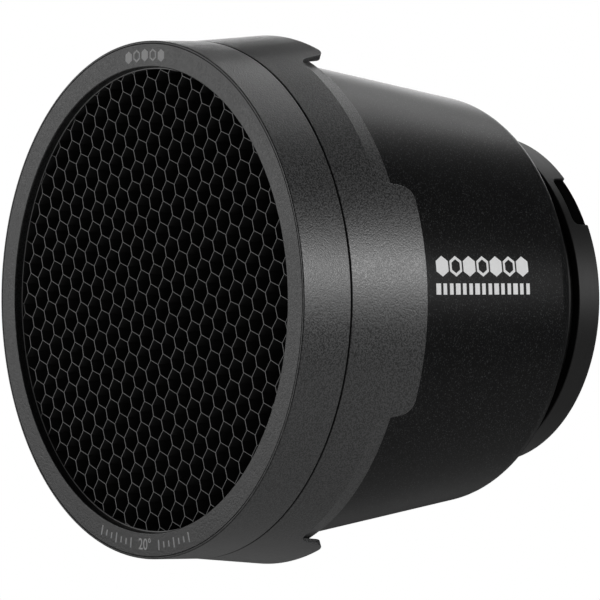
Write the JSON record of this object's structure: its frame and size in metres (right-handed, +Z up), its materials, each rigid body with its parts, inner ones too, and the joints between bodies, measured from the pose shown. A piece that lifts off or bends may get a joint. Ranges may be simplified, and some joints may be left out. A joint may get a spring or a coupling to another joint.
{
  "type": "snoot",
  "caption": "Round black lamp reflector: tapered drum on a mount ring, with a pull-off honeycomb grid ring over its mouth.",
  "frame": {"origin": "on the optical axis at the rear face of the mount ring, where the lamp head enters", "axes": "+Z up; the optical axis lies along Y, the mouth faces -Y and the lamp head leaves along +Y; pull tabs stand at +X, -X, +Z and -Z"},
  "size_m": [0.1562, 0.1318, 0.1562],
  "materials": {
    "black_ring": "satin black anodised",
    "rubber": "matt",
    "steel": "zinc plated",
    "black_plastic": "moulded, matt",
    "magnet": "nickel plated",
    "felt": "black felt",
    "drum_paint": "satin black paint",
    "bright_bowl": "bright anodised",
    "textured_paint": "fine textured black paint",
    "black_foil": "black anodised foil",
    "white_print": "screen printed marks"
  },
  "bodies": {
    "reflector": {"mount_ring": "black_ring", "mount_sleeve": "black_ring", "grip_pads": "rubber", "neck_collar": "black_ring", "mount_screws": "steel", "seat_magnet_ring": "black_plastic", "seat_magnets": "magnet", "light_seal": "felt", "outer_shell": "drum_paint", "inner_reflector": "bright_bowl", "front_rim": "textured_paint", "keeper_ring": "steel", "rim_screws": "steel", "rim_nuts": "steel"},
    "grid": {"grid_bezel": "textured_paint", "grid_core": "black_foil", "core_band": "black_foil", "core_retainer": "steel", "grid_ring": "textured_paint", "grid_magnet_ring": "black_plastic", "grid_magnets": "magnet", "grid_screws": "steel"}
  },
  "joints": [
    {"name": "grid_pull", "type": "slide", "parent": "reflector", "child": "grid", "axis": [0, -1, 0], "range_m": [0, 0.05]}
  ]
}
